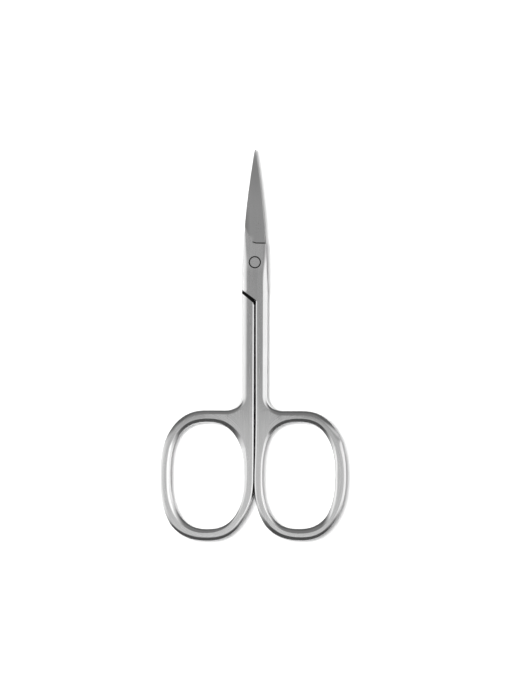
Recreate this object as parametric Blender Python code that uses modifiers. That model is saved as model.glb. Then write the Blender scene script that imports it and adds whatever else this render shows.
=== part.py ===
"""Nail scissors: two forged steel halves on one flush rivet.

The origin lies on the rivet's axis, in the plane that the closed scissors rest on. +X runs to the
right, +Y towards the blade tips and +Z out of the face that shows the rivet head. Lengths are in metres.

Each half is made the way it is forged and ground. A full-thickness blank with a rounded rim is cut to
its shoulder and lapped to half its thickness at the joint and the blade, the blade is ground to a wedge
that ends in a notch, its inner face is hollowed and the rivet hole is sunk.
"""

import math

import bmesh
import bpy
import numpy as np
from mathutils import Matrix, Vector

# Lengths along the tool, measured from the rivet's axis
TIP_REACH = 0.02735
NOTCH_REACH = 0.00450
RUNOUT_REACH = 0.00825
SPINE_RIM_REACH = 0.0086
JOINT_REACH = 0.0075
CROTCH_REACH = 0.00925
TAPER_REACH = 0.0345

# Thicknesses
PLATE = 0.0030
LAP_CLEARANCE = 0.00015
EDGE_THICKNESS = 0.00118
EDGE_THICKNESS_AT_TIP = 0.00065
SPINE_THICKNESS_AT_TIP = 0.00072
KEEN_THICKNESS = 0.0001

# Blades, measured sideways from the rivet's axis
TIP_HALF_WIDTH = 0.00012
EDGE_REACH = 0.00252
SPINE_REACH = 0.00272
EDGE_FULLNESS = 1.46
SPINE_FULLNESS = 1.42
CROWN_POWER = 1.3
JOINT_POWER = 1.6
RUNOUT_HEEL = 0.0007
BEVEL_WIDTH = 0.00018
GRINDING_ALLOWANCE = 0.0004
BACK_COVER = 0.00008

# Hollow in the inner face of each blade
HOLLOW_START = 0.0062
HOLLOW_END = 0.0215
HOLLOW_DEPTH = 0.00012
HOLLOW_RADIUS = 0.012

# Joint and shanks
NOTCH_HALF_WIDTH = 0.00264
FRONT_SHANK_HALF_WIDTH = 0.00315
BACK_SHANK_HALF_WIDTH = 0.00312
SHOULDER_HALF_WIDTH = 0.00310
JOINT_BULGE = 0.00015
CROTCH_HALF_GAP = 0.00023
SHOULDER_ANGLE = math.radians(36)
SHOULDER_GAP = 0.0006
SHOULDER_CORNER = 0.0008

# Bows, which differ a little between the halves; the reach is that of the bow's upper edge
BOW_HALF_GAP = 0.0001
BOW_EXPONENT = 2.4
BOW_FILLET = 0.0036
HOLE_EXPONENT = 2.5
FRONT_BOW_REACH = 0.03611
FRONT_BOW_LENGTH = 0.03110
FRONT_BOW_WIDTH = 0.02228
FRONT_WALL_AT_TOP = 0.00285
FRONT_WALL_AT_BOTTOM = 0.00282
FRONT_WALL_AT_CENTRE = 0.00188
FRONT_WALL_OUTSIDE = 0.00269
BACK_BOW_REACH = 0.03597
BACK_BOW_LENGTH = 0.03154
BACK_BOW_WIDTH = 0.02263
BACK_WALL_AT_TOP = 0.00284
BACK_WALL_AT_BOTTOM = 0.00277
BACK_WALL_AT_CENTRE = 0.00233
BACK_WALL_OUTSIDE = 0.00258

# Rounded rims: width seen from above, and drop seen from the side
FRONT_SHANK_RIM_WIDTH = 0.0014
BACK_SHANK_RIM_WIDTH = 0.00145
SHANK_RIM_DROP = 0.00142
NOTCH_RIM_WIDTH = 0.0023
NOTCH_RIM_DROP = 0.0002
SPINE_RIM_WIDTH = 0.00145
BOW_RIM_WIDTH = 0.00115
BOW_RIM_DROP = 0.0008
HOLE_RIM_WIDTH = 0.0013
HOLE_RIM_WIDTH_AT_SHANK = 0.00075
HOLE_RIM_DROP = 0.00075
INNER_RIM_WIDTH = 0.00036
INNER_RIM_DROP = 0.0002
EDGE_BREAK = 0.00007

# Rivet
HEAD_RADIUS = 0.00125
HEAD_DEPTH = 0.0006
SHAFT_RADIUS = 0.0009
TAIL_RADIUS = 0.00115
TAIL_DEPTH = 0.0005
RUNNING_CLEARANCE = 0.00016
SHAFT_CLEARANCE = 0.00005
SEAT_CLEARANCE = 0.00008

# How finely curves are divided
RIM_STEPS = 5
BLADE_STEPS = 16
GRINDING_STEPS = 19
JOINT_STEPS = 8
FILLET_STEPS = 7
BOW_STEPS = 45
HOLE_STEPS = 56
CORNER_STEPS = 5
TURNED_STEPS = 48
HOLLOW_FACETS = 128
SHARP_TURN = math.radians(20)
SHADING_ANGLE = math.radians(32)

# How far cutters run past what they cut, and the distance within which points are one
OVERRUN = 0.003
MERGE = 0.0000005

# Heights and places that follow from the sizes above
LAP_FACE = (PLATE + LAP_CLEARANCE) / 2
LAP_THICKNESS = PLATE - LAP_FACE
FAR = BACK_BOW_WIDTH + BACK_BOW_LENGTH

# Both halves are drawn with the shank to the right and the outer face up. The back half's joint and
# blade lie just inside the outline of the front half, which covers them when the scissors are closed.
FRONT = {
    "edge": EDGE_REACH,
    "edge_fullness": EDGE_FULLNESS,
    "spine": SPINE_REACH,
    "spine_fullness": SPINE_FULLNESS,
    "notch": NOTCH_HALF_WIDTH,
    "shank": FRONT_SHANK_HALF_WIDTH,
    "shoulder": SHOULDER_HALF_WIDTH,
    "rim": FRONT_SHANK_RIM_WIDTH,
    "bow_reach": FRONT_BOW_REACH,
    "bow_length": FRONT_BOW_LENGTH,
    "bow_width": FRONT_BOW_WIDTH,
    "wall_at_top": FRONT_WALL_AT_TOP,
    "wall_at_bottom": FRONT_WALL_AT_BOTTOM,
    "wall_at_centre": FRONT_WALL_AT_CENTRE,
    "wall_outside": FRONT_WALL_OUTSIDE,
}
BACK = {
    "edge": SPINE_REACH - 2 * BACK_COVER,
    "edge_fullness": SPINE_FULLNESS,
    "spine": EDGE_REACH - BACK_COVER,
    "spine_fullness": EDGE_FULLNESS,
    "notch": SPINE_REACH - BACK_COVER,
    "shank": BACK_SHANK_HALF_WIDTH,
    "shoulder": SHOULDER_HALF_WIDTH - BACK_COVER,
    "rim": BACK_SHANK_RIM_WIDTH,
    "bow_reach": BACK_BOW_REACH,
    "bow_length": BACK_BOW_LENGTH,
    "bow_width": BACK_BOW_WIDTH,
    "wall_at_top": BACK_WALL_AT_TOP,
    "wall_at_bottom": BACK_WALL_AT_BOTTOM,
    "wall_at_centre": BACK_WALL_AT_CENTRE,
    "wall_outside": BACK_WALL_OUTSIDE,
}


def clear_scene():
    """Remove every object that the file opened with."""
    for item in list(bpy.data.objects):
        bpy.data.objects.remove(item, do_unlink=True)


def new_collection(name):
    """Add a collection to the scene and return it."""
    collection = bpy.data.collections.new(name)
    bpy.context.scene.collection.children.link(collection)
    return collection


def steel(name, colour, roughness):
    """Make a steel finish and return its material."""
    material = bpy.data.materials.new(name)
    material.use_nodes = True
    shader = material.node_tree.nodes["Principled BSDF"]
    shader.inputs["Base Color"].default_value = (*colour, 1)
    shader.inputs["Metallic"].default_value = 1
    shader.inputs["Roughness"].default_value = roughness
    return material


def object_from(bm, name, collection):
    """Merge doubles, turn the faces outwards and link the result as a new object."""
    bmesh.ops.remove_doubles(bm, verts=bm.verts, dist=MERGE)
    bmesh.ops.dissolve_degenerate(bm, edges=bm.edges, dist=MERGE)
    bmesh.ops.recalc_face_normals(bm, faces=bm.faces)
    mesh = bpy.data.meshes.new(name)
    bm.to_mesh(mesh)
    bm.free()
    item = bpy.data.objects.new(name, mesh)
    collection.objects.link(item)
    return item


def cut(item, cutter):
    """Take a cutter out of an object, and show the cutter as wires only."""
    cutter.display_type = 'WIRE'
    cutter.hide_render = True
    modifier = item.modifiers.new(cutter.name, 'BOOLEAN')
    modifier.operation = 'DIFFERENCE'
    modifier.solver = 'EXACT'
    modifier.object = cutter


def stations(start, end, steps, with_end=True):
    """Evenly spaced places from start towards end."""
    return start + (end - start) * np.linspace(0, 1, steps, endpoint=with_end)


def blade_half_width(y, reach, fullness):
    """Sideways reach of one side of the blade at y: a fine tip that swells to its full reach."""
    share = limited((TIP_REACH - y) / (TIP_REACH - NOTCH_REACH))
    return TIP_HALF_WIDTH + (reach - TIP_HALF_WIDTH) * (1 - (1 - share) ** fullness)


def limited(share):
    """A share held between nothing and the whole."""
    return min(max(share, 0), 1)


def cutting_side_rim(y, full_width):
    """Width and drop of the joint's outer rim: a shallow crown at the notch, a full round at the shank."""
    share = limited((NOTCH_REACH - y) / (NOTCH_REACH + CROTCH_REACH))
    width = NOTCH_RIM_WIDTH + (full_width - NOTCH_RIM_WIDTH) * share
    drop = NOTCH_RIM_DROP + (SHANK_RIM_DROP - NOTCH_RIM_DROP) * share ** CROWN_POWER
    fade = limited((RUNOUT_REACH - y) / (RUNOUT_REACH - NOTCH_REACH))
    return max(width * fade, EDGE_BREAK), max(drop * fade, EDGE_BREAK)


def spine_rim(y):
    """Width and drop of the joint's inner rim, which dies out where the ground face takes over."""
    share = limited((SPINE_RIM_REACH - y) / SPINE_RIM_REACH)
    share = share * (2 - share)
    return max(SPINE_RIM_WIDTH * share, EDGE_BREAK), max(SHANK_RIM_DROP * share, EDGE_BREAK)


def shoulder_line(x):
    """Height of the slanted lower edge of a half's own joint at x."""
    return -CROTCH_REACH + (CROTCH_HALF_GAP - x) * math.tan(SHOULDER_ANGLE)


def superellipse(centre, width, length, exponent, angles):
    """Points of a squared-off ellipse at the given angles."""
    cosines, sines = np.cos(angles), np.sin(angles)
    x = centre[0] + width / 2 * np.sign(cosines) * np.abs(cosines) ** (2 / exponent)
    y = centre[1] + length / 2 * np.sign(sines) * np.abs(sines) ** (2 / exponent)
    return list(zip(x.tolist(), y.tolist()))


def blade_and_joint_outside(half):
    """Cutting side of the blade, left wider for grinding, then the joint as it widens to the shank."""
    points = []
    for y in stations(TIP_REACH, NOTCH_REACH, BLADE_STEPS, with_end=False):
        x = blade_half_width(y, half["edge"], half["edge_fullness"]) + GRINDING_ALLOWANCE
        points.append((x, y, *cutting_side_rim(y, half["rim"])))
    for share in np.linspace(0, 1, JOINT_STEPS):
        x = half["notch"] + (half["shank"] - half["notch"]) * share ** JOINT_POWER
        y = NOTCH_REACH - (NOTCH_REACH + JOINT_REACH) * share
        points.append((x, y, *cutting_side_rim(y, half["rim"])))
    points.append((half["shank"], -CROTCH_REACH, *cutting_side_rim(-CROTCH_REACH, half["rim"])))
    return points


def shank_and_bow_outside(half):
    """Fillet from the shank to the bow, then round the bow to where it nearly meets the other."""
    points = []
    for share in np.linspace(0, 1, FILLET_STEPS + 1):
        angle = math.pi * (1 + share / 2)
        x = half["shank"] + BOW_FILLET * (1 + math.cos(angle))
        y = -half["bow_reach"] + BOW_FILLET * (1 + math.sin(angle))
        points.append((x, y, half["rim"] + (BOW_RIM_WIDTH - half["rim"]) * share,
                       SHANK_RIM_DROP + (BOW_RIM_DROP - SHANK_RIM_DROP) * share))
    angles = np.linspace(math.pi / 2, -math.pi, BOW_STEPS + 1)
    centre = (BOW_HALF_GAP + half["bow_width"] / 2, -half["bow_reach"] - half["bow_length"] / 2)
    bow = superellipse(centre, half["bow_width"], half["bow_length"], BOW_EXPONENT, angles)
    for angle, (x, y) in zip(angles, bow):
        inner_share = limited(-2 * angle / math.pi - 1)
        points.append((x, y, BOW_RIM_WIDTH + (INNER_RIM_WIDTH - BOW_RIM_WIDTH) * inner_share,
                       BOW_RIM_DROP + (INNER_RIM_DROP - BOW_RIM_DROP) * inner_share))
    return points


def joint_and_spine_inside(half):
    """Inner side of the shank up to the crotch, then of the joint, and the spine up to the tip.

    The joint's side starts at the crotch's height, below the slanted shoulder that is cut later.
    """
    low = shoulder_line(-half["shoulder"])
    points = [(CROTCH_HALF_GAP, -TAPER_REACH, INNER_RIM_WIDTH, INNER_RIM_DROP),
              (CROTCH_HALF_GAP, -CROTCH_REACH - INNER_RIM_WIDTH, INNER_RIM_WIDTH, INNER_RIM_DROP),
              (CROTCH_HALF_GAP, -CROTCH_REACH, EDGE_BREAK, EDGE_BREAK),
              (-half["shoulder"], -CROTCH_REACH, EDGE_BREAK, EDGE_BREAK)]
    top = blade_half_width(RUNOUT_REACH, half["spine"], half["spine_fullness"])
    for share in np.linspace(0, 1, JOINT_STEPS):
        x = half["shoulder"] + (top - half["shoulder"]) * share + 4 * JOINT_BULGE * share * (1 - share)
        y = low + (RUNOUT_REACH - low) * share
        points.append((-x, y, *spine_rim(y)))
    for y in stations(RUNOUT_REACH, TIP_REACH, BLADE_STEPS)[1:]:
        x = blade_half_width(y, half["spine"], half["spine_fullness"])
        points.append((-x, y, EDGE_BREAK, EDGE_BREAK))
    return points


def hole_outline(half):
    """Finger hole, with its rim at each point, widest on the outer side of the bow."""
    hole_width = half["bow_width"] - half["wall_at_centre"] - half["wall_outside"]
    hole_length = half["bow_length"] - half["wall_at_top"] - half["wall_at_bottom"]
    centre = (BOW_HALF_GAP + half["wall_at_centre"] + hole_width / 2,
              -half["bow_reach"] - half["wall_at_top"] - hole_length / 2)
    angles = np.linspace(0, 2 * math.pi, HOLE_STEPS, endpoint=False)
    hole = superellipse(centre, hole_width, hole_length, HOLE_EXPONENT, angles)
    points = []
    for angle, (x, y) in zip(angles, hole):
        outer_share = (1 + math.cos(angle)) / 2
        width = HOLE_RIM_WIDTH_AT_SHANK + (HOLE_RIM_WIDTH - HOLE_RIM_WIDTH_AT_SHANK) * outer_share
        points.append((x, y, width, HOLE_RIM_DROP * width / HOLE_RIM_WIDTH))
    return points


def inward_offsets(points):
    """Vector at each point that draws its two edges in, to the right, by their rim widths."""
    offsets = []
    for index, (x, y, rim, drop) in enumerate(points):
        last, following = points[index - 1], points[(index + 1) % len(points)]
        arriving = (Vector((x, y)) - Vector(last[:2])).normalized()
        leaving = (Vector(following[:2]) - Vector((x, y))).normalized()
        first, second = Vector((arriving.y, -arriving.x)), Vector((leaving.y, -leaving.x))
        if arriving.angle(leaving) < SHARP_TURN:
            normal = (first + second).normalized()
            offsets.append(normal * rim / normal.dot(first))
        else:
            widths = Vector(((last[2] + rim) / 2, (rim + following[2]) / 2))
            offsets.append(Matrix((first, second)).inverted() @ widths)
    return offsets


def add_rim(bm, points):
    """Loft the rim of a plate round a loop, and return the edges of its upper and lower flats.

    The rim is an arc above and below that leaves the flat smoothly and turns by twice the slope from
    its width to its drop, at most by a quarter.
    """
    offsets = inward_offsets(points)
    shares = [step / RIM_STEPS for step in range(RIM_STEPS + 1)]
    levels = [(share, PLATE, -1) for share in shares]
    levels += [(share, 0, 1) for share in reversed(shares)]
    rings = []
    for share, flat, way in levels:
        ring = []
        for (x, y, width, drop), offset in zip(points, offsets):
            full = min(2 * math.atan2(drop, width), math.pi / 2)
            drawn_in = offset * (1 - math.sin(full * share) / math.sin(full))
            height = flat + way * drop * (1 - math.cos(full * share)) / (1 - math.cos(full))
            ring.append(bm.verts.new((x + drawn_in.x, y + drawn_in.y, height)))
        rings.append(ring)
    for upper, lower in zip(rings, rings[1:]):
        for index in range(len(points)):
            after = (index + 1) % len(points)
            bm.faces.new((upper[index], upper[after], lower[after], lower[index]))
    flats = []
    for ring in (rings[0], rings[-1]):
        flats.append([bm.edges.get((ring[index - 1], ring[index])) for index in range(len(ring))])
    return flats


def blank(name, half, collection):
    """Forged blank of a half: a plate of full thickness with a rounded rim and a finger hole."""
    outline = blade_and_joint_outside(half) + shank_and_bow_outside(half) + joint_and_spine_inside(half)
    bm = bmesh.new()
    upper, lower = add_rim(bm, outline)
    hole_upper, hole_lower = add_rim(bm, hole_outline(half))
    for edges in (upper + hole_upper, lower + hole_lower):
        bmesh.ops.triangle_fill(bm, use_beauty=True, edges=edges)
    return object_from(bm, name, collection)


def prism(name, corners, low, high, collection):
    """Upright prism on a flat outline."""
    bm = bmesh.new()
    base = bm.faces.new([bm.verts.new((x, y, low)) for x, y in corners])
    swept = bmesh.ops.extrude_face_region(bm, geom=[base])
    top = [item for item in swept["geom"] if isinstance(item, bmesh.types.BMVert)]
    bmesh.ops.translate(bm, verts=top, vec=(0, 0, high - low))
    return object_from(bm, name, collection)


def shoulder_cutter(name, collection):
    """Cutter for what lies below the slanted shoulder of a half's own joint."""
    corners = [(CROTCH_HALF_GAP, -CROTCH_REACH), (-CROTCH_HALF_GAP, -FAR),
               (-FAR, -FAR), (-FAR, shoulder_line(-FAR))]
    return prism(name, corners, -OVERRUN, PLATE + OVERRUN, collection)


def lap_cutter(name, collection):
    """Cutter for the layer that the other half's joint and blade take up.

    Its lower edge runs along the other half's slanted shoulder, at the shoulder gap, and rounds the
    corner that it leaves on the shank's inner edge.
    """
    drop = SHOULDER_GAP / math.cos(SHOULDER_ANGLE)
    start = math.pi / 2 + SHOULDER_ANGLE
    end = math.pi - SHOULDER_ANGLE / 3
    centre_x = CROTCH_HALF_GAP - SHOULDER_CORNER * math.cos(end)
    centre_y = shoulder_line(-centre_x) - drop - SHOULDER_CORNER / math.cos(SHOULDER_ANGLE)
    corners = [(FAR, FAR), (FAR, shoulder_line(-FAR) - drop)]
    for angle in np.linspace(start, end, CORNER_STEPS):
        corners.append((centre_x + SHOULDER_CORNER * math.cos(angle),
                        centre_y + SHOULDER_CORNER * math.sin(angle)))
    x, y = corners[-1]
    corners.append((x - OVERRUN * math.sin(end), y + OVERRUN * math.cos(end)))
    corners.append((-FAR, y + OVERRUN * math.tan(SHOULDER_ANGLE)))
    corners.append((-FAR, FAR))
    return prism(name, corners, -OVERRUN, LAP_FACE, collection)


def grinding_section(half, y):
    """Cross-section of the grinding cutter at y.

    The ground face falls from the spine to the bevel of the cutting edge. Up to the run-out it starts on
    the outer face of the joint instead, along a line that slants from the heel of the notch to the
    spine. Beside the cutting edge the cutter takes everything away.
    """
    edge = blade_half_width(y, half["edge"], half["edge_fullness"])
    spine = blade_half_width(y, half["spine"], half["spine_fullness"])
    bevel = edge - BEVEL_WIDTH
    share = limited((y - NOTCH_REACH) / (TIP_REACH - NOTCH_REACH))
    edge_height = LAP_FACE + EDGE_THICKNESS + (EDGE_THICKNESS_AT_TIP - EDGE_THICKNESS) * share
    if y < RUNOUT_REACH:
        share = (y - NOTCH_REACH) / (RUNOUT_REACH - NOTCH_REACH)
        start_x, start_height = -RUNOUT_HEEL - (spine - RUNOUT_HEEL) * share, PLATE
    else:
        share = (y - RUNOUT_REACH) / (TIP_REACH - RUNOUT_REACH)
        start_x, start_height = -spine, PLATE - (LAP_THICKNESS - SPINE_THICKNESS_AT_TIP) * share
    slope = (start_height - edge_height) / (bevel - start_x)
    past = start_x - OVERRUN
    return [(past, start_height + slope * OVERRUN), (bevel, edge_height), (edge, LAP_FACE + KEEN_THICKNESS),
            (edge, -OVERRUN), (edge + OVERRUN, -OVERRUN), (edge + OVERRUN, PLATE + 2 * OVERRUN),
            (past, PLATE + 2 * OVERRUN)]


def grinding_cutter(name, half, collection):
    """Loft through the grinding sections from the notch to beyond the tip."""
    runout = stations(NOTCH_REACH, RUNOUT_REACH, CORNER_STEPS, with_end=False)
    blade = stations(RUNOUT_REACH, TIP_REACH, GRINDING_STEPS)
    bm = bmesh.new()
    rings = []
    for y in (*runout, *blade, TIP_REACH + OVERRUN):
        rings.append([bm.verts.new((x, y, z)) for x, z in grinding_section(half, min(y, TIP_REACH))])
    for ring, beyond in zip(rings, rings[1:]):
        for index in range(len(ring)):
            bm.faces.new((ring[index - 1], ring[index], beyond[index], beyond[index - 1]))
    bm.faces.new(rings[0])
    bm.faces.new(rings[-1])
    bmesh.ops.recalc_face_normals(bm, faces=bm.faces)
    bmesh.ops.triangulate(bm, faces=bm.faces)
    return object_from(bm, name, collection)


def hollow_cutter(name, collection):
    """Large cylinder that hollows the inner face, deepest near the joint and gone near the tip."""
    length = HOLLOW_END - HOLLOW_START
    tilt = math.atan2(HOLLOW_DEPTH, length)
    bm = bmesh.new()
    bmesh.ops.create_cone(bm, cap_ends=True, segments=HOLLOW_FACETS, radius1=HOLLOW_RADIUS,
                          radius2=HOLLOW_RADIUS, depth=length)
    bmesh.ops.rotate(bm, verts=bm.verts, matrix=Matrix.Rotation(math.pi / 2 - tilt, 3, 'X'))
    centre = Vector((0, (HOLLOW_START + HOLLOW_END) / 2, LAP_FACE + HOLLOW_DEPTH / 2 - HOLLOW_RADIUS))
    bmesh.ops.translate(bm, verts=bm.verts, vec=centre)
    return object_from(bm, name, collection)


def turned(name, profile, collection):
    """Turn a profile of radii and heights, listed from top to bottom, about the rivet's axis."""
    mesh = bpy.data.meshes.new(name)
    edges = [(index, index + 1) for index in range(len(profile) - 1)]
    mesh.from_pydata([(radius, 0, height) for radius, height in profile], edges, [])
    item = bpy.data.objects.new(name, mesh)
    collection.objects.link(item)
    screw = item.modifiers.new("turn", 'SCREW')
    screw.axis = 'Z'
    screw.steps = TURNED_STEPS
    screw.render_steps = TURNED_STEPS
    screw.use_merge_vertices = True
    screw.merge_threshold = MERGE
    return item


def front_bore(collection):
    """Stepped bore in the front half, with running clearance round the rivet's head and shaft."""
    head = HEAD_RADIUS + RUNNING_CLEARANCE
    shaft = SHAFT_RADIUS + SHAFT_CLEARANCE
    floor = PLATE - HEAD_DEPTH - SEAT_CLEARANCE
    profile = [(0, PLATE + OVERRUN), (head, PLATE + OVERRUN), (head, floor), (shaft, floor),
               (shaft, -OVERRUN), (0, -OVERRUN)]
    return turned("front_bore_cutter", profile, collection)


def back_bore(collection):
    """Bore in the back half, countersunk for the rivet's tail."""
    tail = TAIL_RADIUS + SHAFT_CLEARANCE
    shaft = SHAFT_RADIUS + SHAFT_CLEARANCE
    flare = (tail - shaft) / TAIL_DEPTH
    profile = [(0, PLATE + OVERRUN), (tail + flare * OVERRUN, PLATE + OVERRUN),
               (shaft, PLATE - TAIL_DEPTH), (shaft, -OVERRUN), (0, -OVERRUN)]
    return turned("back_bore_cutter", profile, collection)


def finish_half(item, turn_over, material):
    """Apply the cuts, turn the back half over and shade the result."""
    graph = bpy.context.evaluated_depsgraph_get()
    mesh = bpy.data.meshes.new_from_object(item.evaluated_get(graph), depsgraph=graph)
    item.modifiers.clear()
    bm = bmesh.new()
    bm.from_mesh(mesh)
    if turn_over:
        half_turn = Matrix.Rotation(math.pi, 3, 'Y')
        bmesh.ops.rotate(bm, verts=bm.verts, cent=(0, 0, PLATE / 2), matrix=half_turn)
    bmesh.ops.remove_doubles(bm, verts=bm.verts, dist=MERGE)
    bmesh.ops.triangulate(bm, faces=bm.faces)
    bm.to_mesh(mesh)
    bm.free()
    mesh.shade_smooth()
    mesh.set_sharp_from_angle(angle=SHADING_ANGLE)
    mesh.materials.clear()
    mesh.materials.append(material)
    item.data = mesh


def make_half(name, half, bore, parts, cutters):
    """Model one half with its shank to the right and its outer face up."""
    item = blank(name, half, parts)
    cut(item, shoulder_cutter(name + "_shoulder_cutter", cutters))
    cut(item, lap_cutter(name + "_lap_cutter", cutters))
    cut(item, grinding_cutter(name + "_grinding_cutter", half, cutters))
    cut(item, hollow_cutter(name + "_hollow_cutter", cutters))
    cut(item, bore)
    return item


def make_rivet(parts, material):
    """Rivet with a flush head in front and a countersunk tail behind."""
    profile = [(0, PLATE), (HEAD_RADIUS, PLATE), (HEAD_RADIUS, PLATE - HEAD_DEPTH),
               (SHAFT_RADIUS, PLATE - HEAD_DEPTH), (SHAFT_RADIUS, TAIL_DEPTH), (TAIL_RADIUS, 0), (0, 0)]
    rivet = turned("pivot_rivet", profile, parts)
    rivet.data.materials.append(material)
    return rivet


def main():
    """Build the scissors."""
    clear_scene()
    parts = new_collection("nail_scissors")
    cutters = new_collection("cutters")
    front = make_half("front_half", FRONT, front_bore(cutters), parts, cutters)
    back = make_half("back_half", BACK, back_bore(cutters), parts, cutters)
    bpy.context.view_layer.update()
    finish_half(front, False, steel("satin_steel_front", (0.60, 0.60, 0.60), 0.32))
    finish_half(back, True, steel("satin_steel_back", (0.60, 0.60, 0.60), 0.32))
    make_rivet(parts, steel("rivet_steel", (0.56, 0.56, 0.56), 0.28))


main()
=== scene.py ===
"""Looks of the nail scissors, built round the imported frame.

Both steel halves and the rivet are surfaces worked out with numpy, in metres, in the frame of the CAD
model: the origin lies on the rivet's axis, +Y points to the blade tips and +Z out of the front face.
"""

import logging
import math
from dataclasses import dataclass
from enum import Enum

import bmesh
import bpy
import numpy as np
from mathutils import Matrix, Vector

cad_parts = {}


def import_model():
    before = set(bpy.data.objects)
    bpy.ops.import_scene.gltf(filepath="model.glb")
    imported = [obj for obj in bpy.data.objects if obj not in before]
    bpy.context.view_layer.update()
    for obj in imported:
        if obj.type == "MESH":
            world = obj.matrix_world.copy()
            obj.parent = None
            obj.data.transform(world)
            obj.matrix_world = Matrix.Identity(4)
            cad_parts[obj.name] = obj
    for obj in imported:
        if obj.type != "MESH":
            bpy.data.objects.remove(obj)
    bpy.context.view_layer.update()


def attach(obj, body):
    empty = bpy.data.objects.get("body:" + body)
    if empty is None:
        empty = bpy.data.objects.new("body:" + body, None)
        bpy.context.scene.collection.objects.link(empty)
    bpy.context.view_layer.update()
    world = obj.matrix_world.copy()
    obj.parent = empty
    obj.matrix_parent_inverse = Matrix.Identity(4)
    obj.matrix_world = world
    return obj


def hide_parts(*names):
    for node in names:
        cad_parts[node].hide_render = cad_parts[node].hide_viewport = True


LOG = logging.getLogger("nail_scissors")
MM = 0.001
DEGREE = math.pi / 180.0
# Points closer than MERGE become one. Cutters run OVERRUN past a face and reach FAR past the object.
MERGE = 2e-7
OVERRUN = 3.0 * MM
FAR = 60.0 * MM

Pair = tuple[float, float]
Grey = tuple[float, float, float, float]
Table = tuple[tuple[float, ...], ...]


class Layer(Enum):
    """Which half of the scissors a piece belongs to."""

    FRONT = 1
    BACK = -1


@dataclass(frozen=True)
class Points:
    """Numbers of points along each stretch of an outline, a rim or a cutter."""

    blade: int = 60
    joint: int = 24
    fillet: int = 22
    bow: int = 130
    hole: int = 160
    slot: int = 40
    crotch: int = 5
    rim: int = 12
    foot: int = 9
    runout: int = 26
    ground: int = 70
    across: int = 30
    corner: int = 16
    hollow: int = 720
    turned: int = 96
    turned_edge: int = 7


POINTS = Points()


# ---------------------------------------------------------------- surfaces


def ramp(low: float, high: float, value: np.ndarray) -> np.ndarray:
    """Rise in line from 0 at low to 1 at high.

    Args:
        low: Value where the rise starts.
        high: Value where the rise ends.
        value: Values to look up.

    Returns:
        The rise at each value.
    """
    return np.clip((value - low) / (high - low), 0.0, 1.0)


def smoothstep(low: float, high: float, value: np.ndarray) -> np.ndarray:
    """Rise from 0 at low to 1 at high as 3t^2 - 2t^3.

    Args:
        low: Value where the rise starts.
        high: Value where the rise ends.
        value: Values to look up.

    Returns:
        The rise at each value.
    """
    share = ramp(low, high, value)
    return share * share * (3.0 - 2.0 * share)


def loft(rings: np.ndarray) -> tuple[np.ndarray, np.ndarray]:
    """Skin a stack of closed rings with quads, point (i, j) joined to (i, j+1), (i+1, j+1) and (i+1, j).

    Args:
        rings: Points of shape (rings, points round, 3).

    Returns:
        The points as one list, and the quads that index it.
    """
    count, around = rings.shape[:2]
    index = np.arange(count * around).reshape(count, around)
    after = np.roll(index, -1, axis=1)
    quads = np.stack((index[:-1], after[:-1], after[1:], index[1:]), axis=-1)
    return rings.reshape(-1, 3), quads.reshape(-1, 4)


def weld(bm: bmesh.types.BMesh) -> None:
    """Join points that coincide and drop faces without area."""
    bmesh.ops.remove_doubles(bm, verts=bm.verts, dist=MERGE)
    bmesh.ops.dissolve_degenerate(bm, edges=bm.edges, dist=MERGE)


def new_object(name: str, mesh: bpy.types.Mesh, bm: bmesh.types.BMesh,
               collection: bpy.types.Collection) -> bpy.types.Object:
    """Put an edit mesh, its faces turned outwards, into a new object at the origin.

    Args:
        name: Name of the object.
        mesh: Mesh that takes it.
        bm: The edit mesh, which is freed.
        collection: Where the object is linked.

    Returns:
        The new object.
    """
    bmesh.ops.recalc_face_normals(bm, faces=bm.faces)
    bm.to_mesh(mesh)
    bm.free()
    item = bpy.data.objects.new(name, mesh)
    collection.objects.link(item)
    return item


def closed_form(name: str, points: np.ndarray, faces: list[list[int]],
                collection: bpy.types.Collection) -> bpy.types.Object:
    """Make a closed form of points and faces.

    Args:
        name: Name of the object.
        points: Points of shape (n, 3).
        faces: Rows of point numbers.
        collection: Where the object is linked.

    Returns:
        The new object.
    """
    mesh = bpy.data.meshes.new(name)
    mesh.from_pydata(points.tolist(), [], faces)
    bm = bmesh.new()
    bm.from_mesh(mesh)
    weld(bm)
    return new_object(name, mesh, bm, collection)


def capped(name: str, rings: np.ndarray, collection: bpy.types.Collection) -> bpy.types.Object:
    """Close a loft of rings with a flat face at each end.

    Args:
        name: Name of the object.
        rings: Points of shape (rings, points round, 3).
        collection: Where the object is linked.

    Returns:
        The closed object.
    """
    points, quads = loft(rings)
    around = rings.shape[1]
    first = list(range(around))
    last = [len(points) - around + corner for corner in reversed(first)]
    return closed_form(name, points, [*quads.tolist(), first, last], collection)


def revolve(profile: np.ndarray) -> np.ndarray:
    """Carry a profile round the rivet's axis: (r, z) at angle a goes to (r cos a, r sin a, z).

    Args:
        profile: Radii and heights of shape (n, 2).

    Returns:
        Rings of shape (n, points round, 3).
    """
    angle = np.linspace(0.0, 2.0 * math.pi, POINTS.turned, endpoint=False)[None, :]
    radius, height = profile[:, :1], profile[:, 1:]
    return np.stack((radius * np.cos(angle), radius * np.sin(angle), height + 0.0 * angle), axis=-1)


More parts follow.
